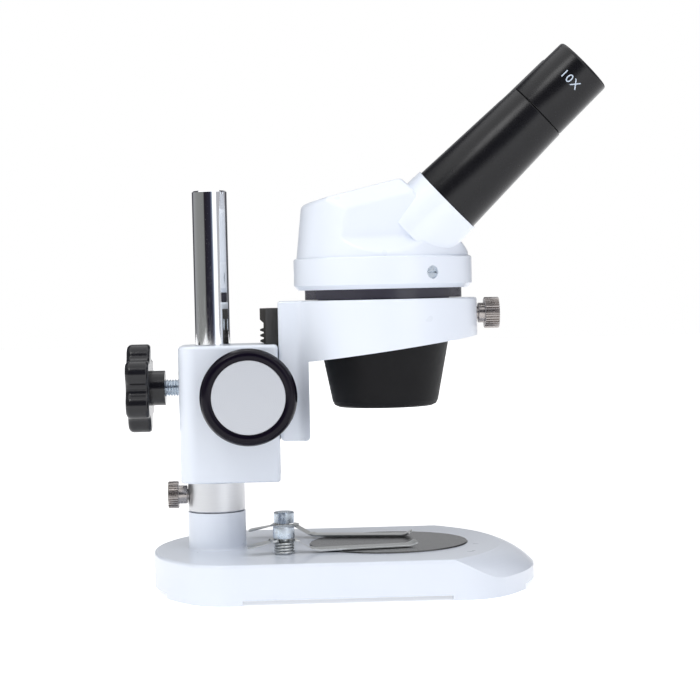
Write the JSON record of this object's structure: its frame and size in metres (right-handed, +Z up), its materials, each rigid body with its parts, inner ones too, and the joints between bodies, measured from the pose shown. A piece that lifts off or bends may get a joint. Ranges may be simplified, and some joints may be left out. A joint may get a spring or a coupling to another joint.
{
  "type": "stereo microscope",
  "caption": "Low-power stereo microscope: inclined binocular head on a rack-focused arm, clamped to a round pillar on a flat base with stage plate and clips.",
  "frame": {"origin": "on the table, under the middle of the whole object's box", "axes": "+Z up, +X from the pillar towards the user and eyepieces, +Y to the user's right; symmetric about the XZ plane"},
  "size_m": [0.2175, 0.122, 0.2421],
  "materials": {
    "white_paint": "gloss enamel on cast zinc alloy",
    "chrome": "bright chrome plate",
    "satin_aluminium": "fine turned, satin",
    "nickel": "bright nickel plate, knurled",
    "zinc_steel": "bluish zinc plate",
    "spring_steel": "satin spring steel",
    "brass": "turned brass",
    "black_plastic": "moulded, semi-gloss",
    "grey_disc": "flat painted aluminium disc",
    "dark_steel": "blackened steel",
    "steel": "ground steel",
    "stage_black": "semi-gloss",
    "black_anodised": "black anodised",
    "matte_black": "matte moulded",
    "black_gloss": "satin-gloss black",
    "optical_glass": "polished"
  },
  "bodies": {
    "stand": {"base_casting": "white_paint", "pillar": "chrome", "pillar_bolt": "zinc_steel", "pillar_washer": "zinc_steel", "stage_plate": "stage_black", "clip_posts": "nickel", "clip_spring_left": "spring_steel", "clip_spring_right": "spring_steel"},
    "clip_left": {"stage_clip_left": "spring_steel"},
    "clip_right": {"stage_clip_right": "spring_steel"},
    "safety_collar": {"collar": "satin_aluminium"},
    "collar_thumbscrew": {"collar_screw": "nickel"},
    "focus_unit": {"focus_body": "white_paint", "clamp_pad": "brass", "shaft_bushes": "brass"},
    "pillar_clamp": {"clamp_stud": "zinc_steel", "star_knob": "black_plastic"},
    "focus_drive": {"pinion_shaft": "steel", "focus_knob_left": "black_plastic", "focus_knob_right": "black_plastic", "knob_disc_left": "grey_disc", "knob_disc_right": "grey_disc", "knob_grub_screws": "zinc_steel"},
    "carriage": {"arm": "white_paint", "slide": "dark_steel", "slide_screws": "zinc_steel", "rack": "dark_steel"},
    "head_lock": {"head_lock_screw": "nickel"},
    "head": {"mounting_ring": "black_anodised", "head_screws": "zinc_steel", "head_shell": "white_paint", "prism_frame": "black_anodised", "prism_left": "optical_glass", "prism_right": "optical_glass", "objective_mount": "black_anodised", "objective_barrel_left": "black_anodised", "objective_barrel_right": "black_anodised", "objective_lens_left": "optical_glass", "objective_lens_right": "optical_glass", "objective_cover": "matte_black", "eyepiece_tube_left": "black_gloss", "eyepiece_tube_right": "black_gloss"},
    "eyepiece_unit_left": {"eyepiece_left": "black_gloss", "eye_lens_left": "optical_glass", "field_stop_left": "black_anodised", "field_lens_left": "optical_glass"},
    "eyepiece_unit_right": {"eyepiece_right": "black_gloss", "eye_lens_right": "optical_glass", "field_stop_right": "black_anodised", "field_lens_right": "optical_glass"}
  },
  "joints": [
    {"name": "clip_left_swing", "type": "hinge", "parent": "stand", "child": "clip_left", "pos_m": [-0.0387, -0.028, 0.0237], "axis": [0, 0, 1], "range_deg": [-80, 12]},
    {"name": "clip_right_swing", "type": "hinge", "parent": "stand", "child": "clip_right", "pos_m": [-0.0387, 0.028, 0.0237], "axis": [0, 0, -1], "range_deg": [-80, 12]},
    {"name": "collar_height", "type": "slide", "parent": "stand", "child": "safety_collar", "axis": [0, 0, 1], "range_m": [0, 0.06]},
    {"name": "collar_screw_turn", "type": "hinge", "parent": "safety_collar", "child": "collar_thumbscrew", "pos_m": [-0.09, 0, 0.0425], "axis": [-1, 0, 0], "range_deg": [0, 540]},
    {"name": "pillar_swivel", "type": "hinge", "parent": "safety_collar", "child": "focus_unit", "pos_m": [-0.0693, 0, 0.08], "axis": [0, 0, 1], "continuous": true},
    {"name": "clamp_turn", "type": "hinge", "parent": "focus_unit", "child": "pillar_clamp", "pos_m": [-0.1, 0, 0.0918], "axis": [-1, 0, 0], "range_deg": [0, 540]},
    {"name": "focus_travel", "type": "slide", "parent": "focus_unit", "child": "carriage", "axis": [0, 0, 1], "range_m": [-0.025, 0.016]},
    {"name": "focus_turn", "type": "hinge", "parent": "focus_unit", "child": "focus_drive", "pos_m": [-0.0528, 0, 0.0885], "axis": [0, -1, 0], "range_deg": [-240, 154]},
    {"name": "head_lock_turn", "type": "hinge", "parent": "carriage", "child": "head_lock", "pos_m": [0.055, 0, 0.123], "axis": [1, 0, 0], "range_deg": [0, 540]},
    {"name": "head_turn", "type": "hinge", "parent": "carriage", "child": "head", "pos_m": [0.00945, 0, 0.13], "axis": [0, 0, 1], "continuous": true},
    {"name": "eyepiece_left_turn", "type": "hinge", "parent": "head", "child": "eyepiece_unit_left", "pos_m": [0.03825, -0.0202, 0.1743], "axis": [0.7206, -0.1149, 0.6838], "continuous": true},
    {"name": "eyepiece_right_turn", "type": "hinge", "parent": "head", "child": "eyepiece_unit_right", "pos_m": [0.03825, 0.0202, 0.1743], "axis": [0.7206, 0.1149, 0.6838], "continuous": true}
  ],
  "couplings": [
    {"joint": "focus_turn", "follows": "focus_travel", "rad_per_m": 166.67}
  ]
}
